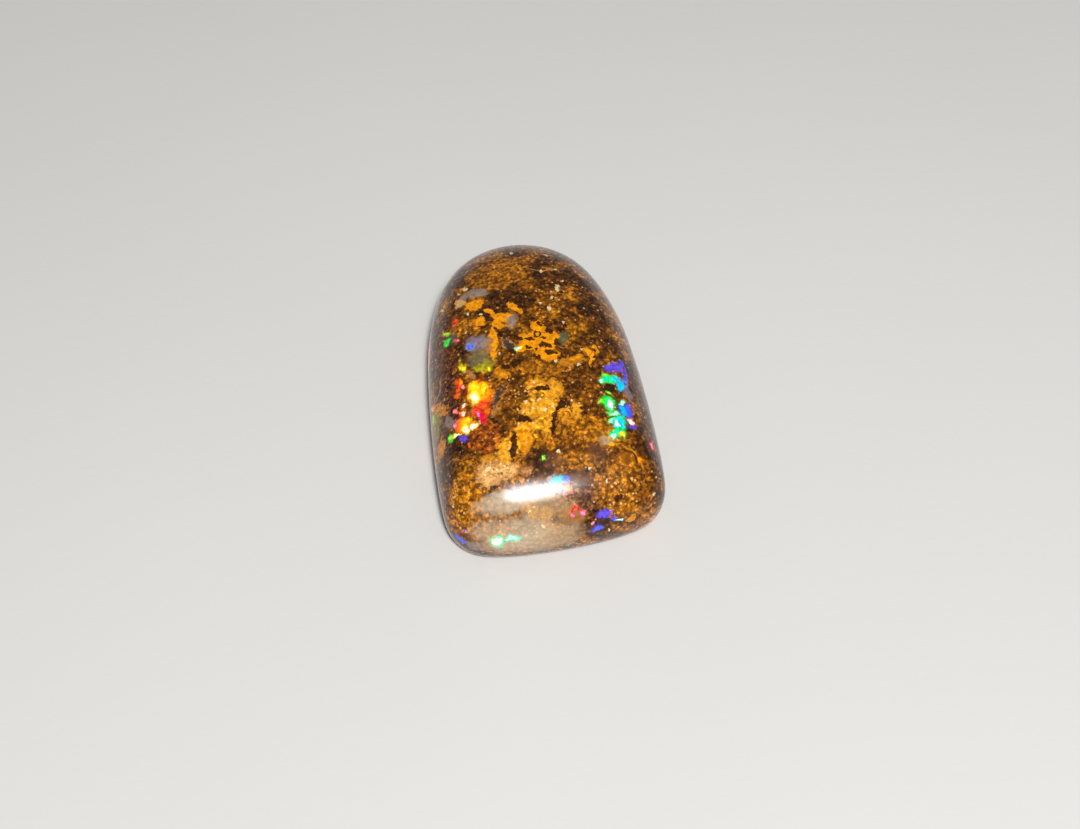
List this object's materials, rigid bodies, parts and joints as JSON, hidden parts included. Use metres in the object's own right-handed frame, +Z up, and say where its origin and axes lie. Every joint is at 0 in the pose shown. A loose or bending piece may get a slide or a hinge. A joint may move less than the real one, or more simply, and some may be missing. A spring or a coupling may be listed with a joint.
{
  "type": "boulder opal cabochon",
  "caption": "Loose polished freeform cabochon of brown ironstone with opal seams, tongue-shaped, domed, with a flat back to rest on or to set in a mount.",
  "frame": {"origin": "middle of the flat back, in the plane that the stone rests on", "axes": "+Z up through the domed crown, +Y along the stone towards its narrow round end, -Y towards its broad end"},
  "size_m": [0.014, 0.0232, 0.0062],
  "materials": {
    "polished_opal_ironstone": "high glassy polish over golden-brown ironstone with ochre patches, grey potch and small patches of red, green and blue opal fire"
  },
  "bodies": {
    "root": {"boulder_opal": "polished_opal_ironstone"}
  },
  "joints": []
}
